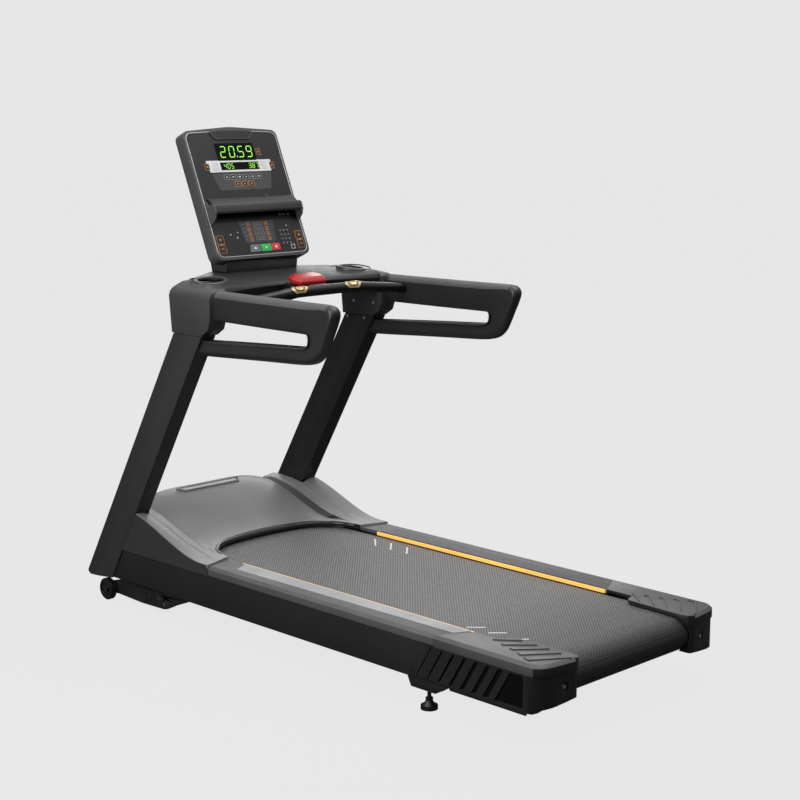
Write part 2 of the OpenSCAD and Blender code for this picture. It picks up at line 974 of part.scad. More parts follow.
side_beam_left();
side_beam_right();
cross_members();
motor_pan();
drive_motor();
motor_shaft();
flywheel();
drive_belt();
front_roller();
roller_pulley();
rear_roller();
roller_axles();
roller_mounts();
motor_controller();
power_inlet();
incline_jack();
jack_screw();
lift_frame();
transport_wheel_left();
transport_wheel_right();
foot_brackets();
levelling_foot_left();
levelling_foot_right();
deck_board();
deck_cushions();
running_belt();
side_rail_left();
side_rail_right();
rail_tread_strips();
rail_light_strips();
end_cap_left();
end_cap_right();
motor_cover();
cover_plate();
motor_side_covers();
upright_left();
upright_right();
upright_skins();
cowl_left();
cowl_right();
cowl_bridge();
cup_wells();
handrail_left();
handrail_right();
grip_bar();
pulse_plates();
stop_base();
stop_button();
console_neck();
console_shell();
console_face();
display_windows();
reading_shelf();
start_key();
stop_key();
incline_up_key();
incline_down_key();
speed_up_key();
speed_down_key();
frame_screws();
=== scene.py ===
import json
import math

import bmesh
import bpy
from mathutils import Matrix, Vector


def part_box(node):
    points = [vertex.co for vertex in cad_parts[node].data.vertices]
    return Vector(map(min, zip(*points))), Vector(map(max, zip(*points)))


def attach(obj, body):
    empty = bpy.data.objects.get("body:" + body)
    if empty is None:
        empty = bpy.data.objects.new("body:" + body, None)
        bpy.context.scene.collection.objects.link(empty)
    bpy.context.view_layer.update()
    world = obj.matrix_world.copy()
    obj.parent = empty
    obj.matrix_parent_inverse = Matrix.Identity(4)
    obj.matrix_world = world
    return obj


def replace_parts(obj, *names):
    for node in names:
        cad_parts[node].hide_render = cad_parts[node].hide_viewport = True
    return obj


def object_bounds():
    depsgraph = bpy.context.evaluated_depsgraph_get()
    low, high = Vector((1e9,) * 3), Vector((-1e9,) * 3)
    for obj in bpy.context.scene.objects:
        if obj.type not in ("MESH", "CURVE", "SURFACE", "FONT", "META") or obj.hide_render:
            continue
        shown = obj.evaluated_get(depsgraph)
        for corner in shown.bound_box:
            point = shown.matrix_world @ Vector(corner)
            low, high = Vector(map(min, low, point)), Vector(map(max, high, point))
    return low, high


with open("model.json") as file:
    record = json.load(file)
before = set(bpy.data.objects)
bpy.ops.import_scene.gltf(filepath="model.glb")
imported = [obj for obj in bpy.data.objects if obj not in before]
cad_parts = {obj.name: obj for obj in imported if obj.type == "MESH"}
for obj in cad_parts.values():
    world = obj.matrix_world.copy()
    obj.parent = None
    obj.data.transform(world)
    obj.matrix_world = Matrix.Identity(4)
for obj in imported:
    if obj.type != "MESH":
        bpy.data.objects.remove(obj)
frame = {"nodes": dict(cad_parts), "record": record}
cad_lo, cad_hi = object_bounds()
nodes = frame["nodes"]
scene = bpy.context.scene
MM = 0.001
WAVE = 0.314  # wave texture scale for bands one metre apart

# ---------------------------------------------------------------- camera
cam_data = bpy.data.cameras.new("camera")
cam_data.sensor_width = 36.0
cam_data.lens = 75.93
cam_data.shift_x = -0.0007
cam_data.shift_y = -0.0113
cam_data.clip_end = 200.0
cam = bpy.data.objects.new("camera", cam_data)
scene.collection.objects.link(cam)
yaw, pitch = math.radians(44.90), math.radians(9.66)
look = Vector((math.sin(yaw) * math.cos(pitch), math.cos(yaw) * math.cos(pitch), -math.sin(pitch)))
cam.location = (-3.6840, -3.7993, 1.7005)
cam.rotation_euler = look.to_track_quat("-Z", "Y").to_euler()
scene.camera = cam

# ---------------------------------------------------------------- materials
mats = {}


def noise_node(t, co, scale, detail=2.0):
    n = t.nodes.new("ShaderNodeTexNoise")
    n.inputs["Scale"].default_value = scale
    n.inputs["Detail"].default_value = detail
    t.links.new(co, n.inputs["Vector"])
    return n.outputs["Fac"]


def ramp_node(t, fac, stops):
    """Colour ramp over fac, with two or more (position, colour) stops in rising order."""
    r = t.nodes.new("ShaderNodeValToRGB")
    elements = r.color_ramp.elements
    for k, (pos, col) in enumerate(stops):
        e = elements[k] if k < 2 else elements.new(pos)
        e.position = pos
        e.color = (*col, 1.0)
    t.links.new(fac, r.inputs["Fac"])
    return r.outputs["Color"]


def wave_node(t, co, axis, pitch):
    """Bands across one axis, one every pitch metres."""
    w = t.nodes.new("ShaderNodeTexWave")
    w.bands_direction = axis
    w.inputs["Scale"].default_value = WAVE / pitch
    w.inputs["Distortion"].default_value = 0.0
    t.links.new(co, w.inputs["Vector"])
    return w.outputs["Fac"]


def raise_bumps(t, height, strength, distance=0.001):
    bn = t.nodes.new("ShaderNodeBump")
    bn.inputs["Strength"].default_value = strength
    bn.inputs["Distance"].default_value = distance
    t.links.new(height, bn.inputs["Height"])
    t.links.new(bn.outputs["Normal"], t.nodes["Principled BSDF"].inputs["Normal"])


def shades(color, vary):
    """Two ramp stops, a little darker and a little lighter than a colour."""
    return [(0.3, [c * (1.0 - vary) for c in color]), (0.7, [min(1.0, c * (1.0 + vary)) for c in color])]


def material(name, color, rough=0.5, spec=0.5, metal=0.0, vary=0.12, grain=900.0, bump=0.12,
             patch=6.0, coat=0.0, emit=None, glow=0.0):
    """Principled surface with a soft colour drift, a roughness drift and a fine moulded grain."""
    m = bpy.data.materials.new(name)
    m.use_nodes = True
    t = m.node_tree
    b = t.nodes["Principled BSDF"]
    co = t.nodes.new("ShaderNodeTexCoord").outputs["Object"]
    drift = noise_node(t, co, patch, 3.0)
    t.links.new(ramp_node(t, drift, shades(color, vary)), b.inputs["Base Color"])
    wear = noise_node(t, co, patch * 7.0, 4.0)
    spread = ramp_node(t, wear, [(0.3, [rough * 0.9] * 3), (0.7, [min(1.0, rough * 1.12)] * 3)])
    t.links.new(spread, b.inputs["Roughness"])
    b.inputs["Metallic"].default_value = metal
    b.inputs["Specular IOR Level"].default_value = spec
    b.inputs["Coat Weight"].default_value = coat
    b.inputs["Coat Roughness"].default_value = 0.25
    if bump > 0.0:
        raise_bumps(t, noise_node(t, co, grain), bump)
    if emit:
        b.inputs["Emission Color"].default_value = (*emit, 1.0)
        b.inputs["Emission Strength"].default_value = glow
    mats[name] = m
    return m


def ribbed(name, color, rough, pitch, axis, depth):
    """Fine moulded ribs, one every pitch metres."""
    t = material(name, color, rough=rough, bump=0.0).node_tree
    co = t.nodes.new("ShaderNodeTexCoord").outputs["Object"]
    raise_bumps(t, wave_node(t, co, axis, pitch), depth)


def belt_material(name, color):
    """Rubber belt with small raised diamond dots, lighter on their tips, and painted shade darkening it
    toward the rear wrap.
    """
    t = material(name, color, rough=0.55, spec=0.4, bump=0.0).node_tree
    co = t.nodes.new("ShaderNodeTexCoord").outputs["Object"]
    turn = t.nodes.new("ShaderNodeMapping")
    turn.inputs["Rotation"].default_value = (0.0, 0.0, math.radians(45.0))
    t.links.new(co, turn.inputs["Vector"])
    dots = t.nodes.new("ShaderNodeMath")
    dots.operation = "MULTIPLY"
    for k, axis in enumerate("XY"):
        t.links.new(wave_node(t, turn.outputs["Vector"], axis, 0.0078), dots.inputs[k])
    # raised dot tips coloured lighter than the dips
    dot_tones = [(0.12, [c * 0.50 for c in color]), (0.70, [c * 1.75 for c in color])]
    tips = ramp_node(t, dots.outputs[0], dot_tones)
    # painted shade: the belt colour is darkened toward the rear wrap, down to a twentieth at Y -1.05 m
    split = t.nodes.new("ShaderNodeSeparateXYZ")
    t.links.new(co, split.inputs[0])
    near = t.nodes.new("ShaderNodeMapRange")
    near.inputs["From Min"].default_value = -1.05
    near.inputs["From Max"].default_value = -0.55
    t.links.new(split.outputs["Y"], near.inputs["Value"])
    painted_wrap_shade = ramp_node(t, near.outputs["Result"], [(0.0, [0.05] * 3), (0.24, [0.62] * 3), (1.0, [1.0] * 3)])
    shade = t.nodes.new("ShaderNodeMix")
    shade.data_type = "RGBA"
    shade.inputs["A"].default_value = (0.0, 0.0, 0.0, 1.0)
    t.links.new(tips, shade.inputs["B"])
    t.links.new(painted_wrap_shade, shade.inputs["Factor"])
    t.links.new(shade.outputs["Result"], t.nodes["Principled BSDF"].inputs["Base Color"])
    raise_bumps(t, dots.outputs[0], 0.7, 0.0012)


material("frame_steel", (0.0125, 0.0125, 0.013), rough=0.42, bump=0.05, grain=500)
material("bare_steel", (0.50, 0.50, 0.52), rough=0.3, metal=1.0, bump=0.06)
material("motor_can", (0.22, 0.22, 0.23), rough=0.45, metal=0.6)
material("flywheel_iron", (0.12, 0.12, 0.125), rough=0.5, metal=0.7)
material("poly_belt", (0.02, 0.02, 0.02), rough=0.7)
material("deck_wood", (0.30, 0.22, 0.14), rough=0.6, vary=0.25, patch=14)
material("cushion", (0.03, 0.03, 0.03), rough=0.8)
material("pan_plastic", (0.02, 0.02, 0.02), rough=0.6)
material("electronics", (0.28, 0.29, 0.30), rough=0.4, metal=0.8)
material("inlet", (0.015, 0.015, 0.015), rough=0.3)
material("wheel", (0.006, 0.006, 0.006), rough=0.16, spec=0.8, bump=0.03)
material("foot", (0.008, 0.008, 0.008), rough=0.35)
ribbed("rail", (0.082, 0.083, 0.085), 0.42, 0.0065, "X", 0.55)
# painted shade: a darker ribbed copy for the far tread strips, which are identical to the lighter near ones
ribbed("rail_band_painted_shade", (0.060, 0.061, 0.063), 0.42, 0.0065, "X", 0.55)
material("tread_strip", (0.31, 0.317, 0.325), rough=0.5, spec=0.3)
material("tread_edge", (0.95, 0.62, 0.30), rough=0.40, bump=0.0)
# the orange strip is no lamp: its emission is painted light that brightens it
material("light_strip", (0.90, 0.48, 0.10), rough=0.3, emit=(1.0, 0.54, 0.13), glow=0.56, bump=0.0)
material("cap", (0.0125, 0.0125, 0.013), rough=0.38)
material("cap_top", (0.075, 0.076, 0.078), rough=0.36)
material("cover", (0.185, 0.186, 0.188), rough=0.38, bump=0.14)
material("cover_lip", (0.010, 0.010, 0.010), rough=0.22, spec=0.6, bump=0.03)
material("plate", (0.36, 0.365, 0.37), rough=0.30, metal=0.2)
material("side_cover", (0.036, 0.0362, 0.037), rough=0.42)
material("post", (0.0140, 0.0140, 0.0145), rough=0.38)
material("post_skin", (0.036, 0.036, 0.037), rough=0.36)
material("cowl", (0.048, 0.0485, 0.0495), rough=0.34)
material("bridge", (0.020, 0.0202, 0.0207), rough=0.40)
# darker copy of the bridge colour, painted shade for its faces turned toward -Y
material("bridge_wall_painted_shade", (0.007, 0.007, 0.0072), rough=0.35)
material("cup", (0.004, 0.004, 0.004), rough=0.25)
material("cup_rim", (0.055, 0.055, 0.056), rough=0.30)
material("handrail", (0.025, 0.025, 0.026), rough=0.32)
# real ribbed grip rubber whose light tone is partly painted light falling on the handrail's top
ribbed("grip_rubber_and_sheen", (0.088, 0.088, 0.089), 0.50, 0.0042, "Y", 0.55)
material("grip", (0.006, 0.006, 0.006), rough=0.22, bump=0.05)
material("contact_plate", (0.80, 0.60, 0.32), rough=0.24, metal=0.9)
material("contact_dark", (0.05, 0.035, 0.02), rough=0.4)
material("stop_base", (0.006, 0.006, 0.006), rough=0.4)
material("stop_red", (0.42, 0.006, 0.010), rough=0.32, bump=0.02, coat=0.25)
material("neck", (0.030, 0.030, 0.031), rough=0.45)
material("shell", (0.070, 0.071, 0.073), rough=0.42)
material("silver", (0.62, 0.63, 0.65), rough=0.30, metal=0.6, bump=0.03)
material("face", (0.0125, 0.0128, 0.0138), rough=0.34, bump=0.05)
material("face_light", (0.050, 0.051, 0.054), rough=0.36, bump=0.05)
material("black_gloss", (0.0015, 0.0015, 0.0015), rough=0.3, spec=0.3, bump=0.0)
material("display", (0.0006, 0.0008, 0.0006), rough=0.5, spec=0.1, bump=0.0)
material("led_green", (0.20, 0.7, 0.04), rough=0.4, bump=0.0, emit=(0.40, 1.0, 0.10), glow=0.85)
material("white_print", (0.72, 0.73, 0.74), rough=0.35, bump=0.0)
material("grey_print", (0.26, 0.27, 0.29), rough=0.4, bump=0.0)
material("orange_print", (0.60, 0.25, 0.055), rough=0.4, bump=0.0)
material("blue_print", (0.10, 0.16, 0.32), rough=0.4, bump=0.0)
material("shelf", (0.050, 0.051, 0.053), rough=0.30)
material("key_green", (0.03, 0.42, 0.10), rough=0.35, bump=0.05)
material("key_red", (0.66, 0.035, 0.05), rough=0.35, bump=0.05)
material("key_grey", (0.16, 0.17, 0.175), rough=0.35, bump=0.05)
material("key_dark", (0.016, 0.016, 0.017), rough=0.35, bump=0.05)
material("screw", (0.62, 0.62, 0.64), rough=0.2, metal=0.9)
belt_material("belt_rubber", (0.158, 0.158, 0.157))


# ---------------------------------------------------------------- mesh helpers
def weld(o):
    """Joins the CAD mesh's coincident points."""
    w = o.modifiers.new("weld", "WELD")
    w.merge_threshold = 0.00002


def smooth(o, angle=30.0):
    """Smooth shading with hard edges kept above an angle."""
    o.data.polygons.foreach_set("use_smooth", [True] * len(o.data.polygons))
    e = o.modifiers.new("split", "EDGE_SPLIT")
    e.split_angle = math.radians(angle)
    return o


def soften(o, width, segments=3, angle=28.0):
    """Rounds every edge sharper than an angle."""
    b = o.modifiers.new("round", "BEVEL")
    b.width = width
    b.segments = segments
    b.limit_method = "ANGLE"
    b.angle_limit = math.radians(angle)
    b.use_clamp_overlap = True
    b.harden_normals = True
    o.data.polygons.foreach_set("use_smooth", [True] * len(o.data.polygons))
    return o


def piece(name, verts, faces, mat, body="frame", place=None, extra=()):
    """A new mesh riding a body, moved by place where one is given."""
    me = bpy.data.meshes.new(name)
    me.from_pydata([tuple(v) for v in verts], [], faces)
    me.materials.append(mats[mat])
    for x in extra:
        me.materials.append(mats[x])
    if place is not None:
        me.transform(place)
    o = bpy.data.objects.new(name, me)
    scene.collection.objects.link(o)
    bm = bmesh.new()
    bm.from_mesh(me)
    bmesh.ops.recalc_face_normals(bm, faces=bm.faces)
    bm.to_mesh(me)
    bm.free()
    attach(o, body)
    return o


def slabs(outlines, lo, hi, to3):
    """Closed slabs, one per 2-D outline, between two heights; to3(u, v, w) gives the 3-D point."""
    verts, faces = [], []
    for pts in outlines:
        n, k = len(pts), len(verts)
        verts += [to3(u, v, lo) for u, v in pts] + [to3(u, v, hi) for u, v in pts]
        faces.append(list(range(k + n - 1, k - 1, -1)))
        faces.append(list(range(k + n, k + 2 * n)))
        faces += [[k + i, k + (i + 1) % n, k + n + (i + 1) % n, k + n + i] for i in range(n)]
    return verts, faces


def frames(rings, lo, hi, to3):
    """Closed picture-frame slabs, one per (outer, inner) pair of outlines with equal counts."""
    verts, faces = [], []
    for outer, inner in rings:
        n, k = len(outer), len(verts)
        for loop in (outer, inner):
            verts += [to3(u, v, lo) for u, v in loop] + [to3(u, v, hi) for u, v in loop]
        a, b, c, d = k, k + n, k + 2 * n, k + 3 * n
        for i in range(n):
            j = (i + 1) % n
            faces += [[a + i, a + j, b + j, b + i], [d + i, d + j, c + j, c + i],
                      [b + i, b + j, d + j, d + i], [c + i, c + j, a + j, a + i]]
    return verts, faces


def rect(cx, cy, w, h, r=0.0, steps=4):
    """Rectangle outline with rounded corners."""
    pts = []
    for qx, qy, a0 in ((1, 1, 0), (-1, 1, 90), (-1, -1, 180), (1, -1, 270)):
        ox, oy = cx + qx * (w / 2 - r), cy + qy * (h / 2 - r)
        for i in range(steps + 1 if r > 0 else 1):
            a = math.radians(a0 + 90 * i / steps)
            pts.append((ox + r * math.cos(a), oy + r * math.sin(a)))
    return pts


def turned(degrees, axis):
    return Matrix.Rotation(math.radians(degrees), 4, axis)


def polar(r, i, n):
    """Point i of n on a circle."""
    return r * math.cos(2 * math.pi * i / n), r * math.sin(2 * math.pi * i / n)


def ring(cx, cy, w, h, r, line):
    """Outer and inner outlines of a rounded frame, line wide."""
    return rect(cx, cy, w, h, r), rect(cx, cy, w - 2 * line, h - 2 * line, max(0.2, r - line))


def curve_points(keys, count):
    """Evenly stepped Catmull-Rom curve through key points of any length."""
    out = []
    n = len(keys)
    for s in range(count):
        t = s / (count - 1) * (n - 1)
        i = min(int(t), n - 2)
        f = t - i
        p = [keys[max(0, i - 1)], keys[i], keys[i + 1], keys[min(n - 1, i + 2)]]
        out.append([0.5 * (2 * b + (c - a) * f + (2 * a - 5 * b + 4 * c - d) * f * f
                           + (3 * b - a - 3 * c + d) * f ** 3) for a, b, c, d in zip(*p)])
    return out


# ---------------------------------------------------------------- CAD nodes: materials and edges
slot_of = {s["node"]: s["material_slot"] for s in frame["record"]["subparts"]}
rounded = {"side_beam": 4, "side_rail": 3, "end_cap": 5, "upright_left": 4, "upright_right": 4,
           "upright_skins": 3, "cowl_left": 9, "cowl_right": 9, "cowl_bridge": 5, "stop": 1.6,
           "console_shell": 6, "console_neck": 6, "foot_brackets": 3, "start_key": 1, "power": 1}
for name, o in nodes.items():
    o.data.materials.clear()
    o.data.materials.append(mats[slot_of[name]])
    weld(o)
    width = [w for k, w in rounded.items() if name.startswith(k)]
    if width:
        soften(o, width[0] * MM, 4)
    else:
        smooth(o, 35.0)
# painted shade: the bridge's faces turned toward -Y take a darker copy of its material
bridge = nodes["cowl_bridge"].data
bridge.materials[0] = mats["bridge"]
bridge.materials.append(mats["bridge_wall_painted_shade"])
for f in bridge.polygons:
    if f.normal.y < -0.45:
        f.material_index = 1


def node_box(name):
    """A CAD node's box in millimetres."""
    lo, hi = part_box(name)
    return [c / MM for c in lo], [c / MM for c in hi]


def up(x, y, height):
    """Outline in plan, thickness along Z."""
    return x * MM, y * MM, height * MM


def ahead(x, z, depth):
    """Outline seen from the front, thickness along Y."""
    return x * MM, depth * MM, z * MM


SIDES = ((-1, "left"), (1, "right"))

# ---------------------------------------------------------------- handrails
half = 21.5  # half the loop's thickness
flare = math.radians(2.0)
root_x, root_y = 378.5, 333.0  # the loop flares about this upright line
# outer edge (y, z) and window edge (y, z) along one loop, from the cowl round the tip to the upright
LOOP = [(332, 1124, 332, 1031), (200, 1124, 200, 1030.5), (60, 1124.4, 60, 1030.5),
        (-60, 1125, -58, 1031), (-150, 1125.6, -108, 1031), (-200, 1125.6, -119, 1030.8),
        (-226, 1123.6, -125, 1028.6), (-241, 1115, -128, 1024), (-246, 1100, -129, 1018.5),
        (-238, 1074, -129, 1012), (-222, 1038, -128, 1006.5), (-205, 1000, -126, 1001.5),
        (-189, 972, -122, 997.5), (-165, 951.5, -114, 994), (-134, 941.5, -102, 991.8),
        (-80, 935, -66, 989), (50, 928.5, 50, 982.6), (200, 920.6, 200, 973.8),
        (330, 913.4, 330, 965.8), (414, 909.4, 408, 961)]


def loop_section(oy, oz, wy, wz, big, small):
    """One rounded section between the outer edge and the window edge."""
    o, w = Vector((oy, oz)), Vector((wy, wz))
    d = (o - w).normalized()
    pts = []
    for base, sign, r in ((o, 1, big), (w, -1, small)):
        for side in (1, -1):
            quarter = range(7) if side * sign > 0 else range(6, -1, -1)
            for q in quarter:
                a = math.radians(15.0 * q)
                x = (half - r + r * math.cos(a)) * side * sign
                c = base - d * sign * (r - r * math.sin(a))
                pts.append((x, c.x, c.y))
    return pts


def handrail(name, side):
    """The loop swept through its sections, with ribbed rubber on its top in a lighter tone that is partly
    painted light on its upward faces.
    """
    verts, faces = [], []
    steps = curve_points(LOOP, 110)
    for oy, oz, wy, wz in steps:
        reach = (Vector((oy, oz)) - Vector((wy, wz))).length
        pts = loop_section(oy, oz, wy, wz, min(20.5, reach * 0.44), min(8.0, reach * 0.3))
        count = len(pts)
        for x, y, z in pts:
            dy = y - root_y
            gx = root_x + x * math.cos(flare) - dy * math.sin(flare)
            gy = root_y + dy * math.cos(flare) + x * math.sin(flare)
            verts.append((side * gx * MM, gy * MM, z * MM))
    for k in range(len(steps) - 1):
        for i in range(count):
            j = (i + 1) % count
            faces.append([k * count + i, k * count + j, (k + 1) * count + j, (k + 1) * count + i])
    faces.append(list(range(count)))
    faces.append([(len(steps) - 1) * count + i for i in range(count)])
    o = piece(name, verts, faces, "handrail", extra=("grip_rubber_and_sheen",))
    # upward faces of the top take the lighter ribbed rubber; its light tone is partly painted light
    for f in o.data.polygons:
        c = f.center
        if c.z > 1.098 and -0.215 < c.y < 0.322 and f.normal.z > 0.02:
            f.material_index = 1
    return smooth(o, 40.0)


for side, word in reversed(SIDES):
    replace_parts(handrail(f"handrail_loop_{word}", side), f"handrail_{word}")

# ---------------------------------------------------------------- grip bar and contact plates
bar_r, bar_y, bar_end = 17.0, 249.0, 363.0


def bar_path(x):
    """Height of the bar's centre line: level in the middle, then falling toward both ends."""
    over = max(0.0, abs(x) - 118.0)
    return 1104.0 - 21.0 * min(1.0, over / 241.5) ** 1.15


def bar_radius(x):
    """The bar is a little thicker where the contact plates end."""
    return bar_r + 2.5 * math.exp(-((abs(x) - 150.0) / 26.0) ** 2)


def tube(name, path, radius, mat, sides=28, body="frame"):
    """Round bar along a path of points with a radius for each."""
    verts, faces = [], []
    for k, p in enumerate(path):
        a = Vector(path[max(0, k - 1)])
        b = Vector(path[min(len(path) - 1, k + 1)])
        d = (b - a).normalized()
        side = d.cross(Vector((0, 0, 1))).normalized()
        rise = side.cross(d)
        for i in range(sides):
            t = 2 * math.pi * i / sides
            q = Vector(p) + (side * math.cos(t) + rise * math.sin(t)) * radius(k)
            verts.append(q * MM)
    for k in range(len(path) - 1):
        for i in range(sides):
            j = (i + 1) % sides
            faces.append([k * sides + i, k * sides + j, (k + 1) * sides + j, (k + 1) * sides + i])
    faces.append(list(range(sides)))
    faces.append([(len(path) - 1) * sides + i for i in range(sides)])
    return smooth(piece(name, verts, faces, mat, body), 45.0)


xs = [-bar_end + 2 * bar_end * i / 80 for i in range(81)]
bar = tube("grip_bar_skin", [(x, bar_y, bar_path(x)) for x in xs], lambda k: bar_radius(xs[k]), "grip")
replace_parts(bar, "grip_bar")


def wrap(x, along, a0, a1, lift, name, mat, line=0.0):
    """A six-sided plate curved round the bar from angle a0 to a1; line > 0 leaves a frame."""
    verts, faces = [], []
    rings = [1.0, 1.0 - line] if line else [1.0, 0.02]
    corners = [Vector(c) for c in ((-1, -0.1), (-0.5, 1), (0.6, 0.95), (1, 0.1), (0.5, -1), (-0.6, -0.95))]
    shape = [corners[i].lerp(corners[(i + 1) % 6], j / 5) for i in range(6) for j in range(5)]
    n = len(shape)
    for h in (lift, lift - 1.6):
        for s in rings:
            for u, v in shape:
                ang = math.radians((a0 + a1) / 2 + (a1 - a0) / 2 * v * s)
                px = x + along / 2 * u * s
                r = bar_radius(px) + h
                verts.append(up(px, bar_y - r * math.cos(ang), bar_path(px) + r * math.sin(ang)))
    for i in range(n):
        j = (i + 1) % n
        a, b, c, d = i, n + i, 2 * n + i, 3 * n + i
        ja, jb, jc, jd = j, n + j, 2 * n + j, 3 * n + j
        faces += [[a, ja, jb, b], [c, d, jd, jc], [a, c, jc, ja], [b, jb, jd, d]]
    return smooth(piece(name, verts, faces, mat), 40.0)


for side, word in SIDES:
    cx = 117.0 * side
    outer = wrap(cx, 74.0, -2, 108, 2.0, f"contact_frame_{word}", "contact_plate", 0.34)
    inner = wrap(cx, 36.0, 30, 80, 2.2, f"contact_pad_{word}", "contact_plate")
    under = wrap(cx, 54.0, 14, 96, 1.2, f"contact_gap_{word}", "contact_dark")
    if side < 0:
        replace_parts(outer, "pulse_plates")

# ---------------------------------------------------------------- console
place = Matrix.Translation((0, 0.551, 1.214)) @ turned(-23.3, "X")
FACE = -1.0


def on_face(u, v, w):
    """Outline on the console face, thickness toward the viewer, in the console's own frame."""
    return u * MM, (FACE - w) * MM, v * MM


def printed(name, outlines, mat, lo=0.0, hi=0.5, body="frame", rings=False):
    """Thin slabs or frames on the console face, from lo to hi above it."""
    maker = frames if rings else slabs
    verts, faces = maker(outlines, lo, hi, on_face)
    o = piece(name, verts, faces, mat, body, place)
    return o


def hull(points):
    """Convex outline round 2-D points, anticlockwise."""
    pts = sorted(set(points))

    def half_hull(seq):
        out = []
        for p in seq:
            while len(out) > 1 and ((out[-1][0] - out[-2][0]) * (p[1] - out[-2][1])
                                    - (out[-1][1] - out[-2][1]) * (p[0] - out[-2][0])) <= 0:
                out.pop()
            out.append(p)
        return out[:-1]
    return half_hull(pts) + half_hull(pts[::-1])


def console_outline(w, z0, z1, arch):
    """The console's front outline: round corners, a gently arched top and bottom."""
    pts = []
    for i in range(48):
        a = 2 * math.pi * i / 48
        c, s = math.cos(a), math.sin(a)
        for cx in (-w, w):
            k = 1 if cx > 0 else -1
            pts.append((round(cx - 26 * k + 26 * c, 4), round(z0 + 26 + 26 * s, 4)))
            pts.append((round(cx - 24 * k + 24 * c, 4), round(z1 - 24 + 24 * s, 4)))
        pts.append((round(120 * c, 4), round(z1 - 40 + arch + 40 * s, 4)))
    return hull(pts)


def inset(loop, d):
    """An outline moved inward by d."""
    out = []
    n = len(loop)
    for i in range(n):
        a, b, c = Vector(loop[i - 1]), Vector(loop[i]), Vector(loop[(i + 1) % n])
        t = ((b - a).normalized() + (c - b).normalized()).normalized()
        out.append((b.x - t.y * d, b.y + t.x * d))
    return out


edge = console_outline(196.4, -15.4, 425.0, 8.0)
rim = printed("console_rim", [(edge, inset(edge, 2.4))], "silver", -1.0, 1.2, rings=True)
soften(rim, 0.5 * MM, 2)
panel = console_outline(192.0, -10.5, 421.0, 6.0)
printed("console_overlay", [panel], "face", 0.0, 0.25)

header = [(-96, 424), (-90, 430), (-40, 434), (40, 434), (90, 430), (96, 424), (80, 404), (72, 398),
          (-72, 398), (-80, 404)]
plate = printed("console_header", [header], "face_light", 0.0, 4.0)
soften(plate, 1.6 * MM, 3)
printed("header_inlay", [[(x * 0.9, 415 + (z - 415) * 0.72) for x, z in header]], "face", 4.0, 4.4)

# displays
lens = printed("display_main", [rect(-2, 354, 166, 62, 2)], "display", 0.2, 1.6)
band_pts = [(-141, 324), (141, 324), (133, 282), (-133, 282)]
band = printed("display_band", [band_pts], "white_print", 0.2, 1.2)
soften(band, 0.4 * MM, 2)
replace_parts(lens, "display_windows")
printed("display_strip", [rect(0, 303, 166, 27, 1)], "display", 1.2, 2.0)

SEGMENTS = {"0": "abcdef", "2": "abged", "3": "abgcd", "4": "fgbc", "5": "afgcd", "7": "abc",
            "8": "abcdefg", "9": "abcdfg"}


def digit(ch, x, v, w, h, t):
    """Outlines of one slanted seven-segment digit centred at x, v."""
    bars = {"a": (0, h / 2, 1), "d": (0, -h / 2, 1), "g": (0, 0, 1), "b": (w / 2, h / 4, 0),
            "c": (w / 2, -h / 4, 0), "f": (-w / 2, h / 4, 0), "e": (-w / 2, -h / 4, 0)}
    out = []
    for s in SEGMENTS[ch]:
        cx, cy, flat = bars[s]
        length = (w if flat else h / 2) - t * 0.9
        k = length / 2 - t / 2
        pts = [(-length / 2, 0), (-k, t / 2), (k, t / 2), (length / 2, 0), (k, -t / 2), (-k, -t / 2)]
        if not flat:
            pts = [(-q, p) for p, q in pts]
        out.append([(x + cx + p + 0.10 * (cy + q), v + cy + q) for p, q in pts])
    return out


big = []
for i, ch in enumerate("2059"):
    big += digit(ch, (-57, -19, 20, 57)[i], 354, 21, 38, 2.7)
big.append(rect(0.5, 336.5, 4, 4, 1))
printed("display_digits", big, "led_green", 1.6, 2.0)
small = []
for k, word in ((-63, "405"), (44, "387")):
    for i, ch in enumerate(word):
        small += digit(ch, k + 15 * i, 303, 9.5, 17, 1.4)
printed("strip_digits", small, "led_green", 2.0, 2.3)
marks = [rect(s * (96 + 9 * c), 315 - 6.2 * r, 6.0 if c < 2 else 4.0, 1.6) for s in (-1, 1)
         for c in range(3) for r in range(5)]
printed("band_marks", marks, "grey_print", 1.2, 1.45)

# overlay areas and keys
printed("keys_area_upper", [[(-130, 279), (130, 279), (114, 226), (108, 218), (-108, 218), (-114, 226)]],
        "face_light", 0.25, 0.7)
row = [-70 + 28 * i for i in range(6)]
printed("keys_white", [ring(x, 264, 23, 18, 3, 1.5) for x in row], "grey_print", 0.7, 1.1, rings=True)
printed("keys_white_caps", [rect(x, 264, 19, 14, 2) for x in row], "key_dark", 0.7, 1.3)
glyphs = [rect(x, 264, 5 + i % 3, 5 - i % 2, 1) for i, x in enumerate(row)]
printed("keys_white_glyphs", glyphs, "white_print", 1.3, 1.5)
wide_keys = [(-30, 239), (0, 239), (30, 239)]
tall_keys = [(97, 352), (-141, 302), (141, 302)]
orange = [ring(x, z, 24, 20, 3, 1.4) for x, z in wide_keys]
orange += [ring(x, z, 19, 24, 3, 1.4) for x, z in tall_keys]
printed("keys_orange", orange, "orange_print", 0.7, 1.6, rings=True)
caps = [rect(x, z, 20, 16, 2) for x, z in wide_keys] + [rect(x, z, 15, 20, 2) for x, z in tall_keys]
printed("keys_orange_caps", caps, "key_dark", 0.2, 1.8)
tips = [[(x - 3, z - 4), (x + 4, z), (x - 3, z + 4)] for x, z in wide_keys + [(97, 352), (141, 302)]]
tips.append([(-138, 298), (-145, 302), (-138, 306)])
printed("keys_orange_tips", tips, "orange_print", 1.8, 2.0)

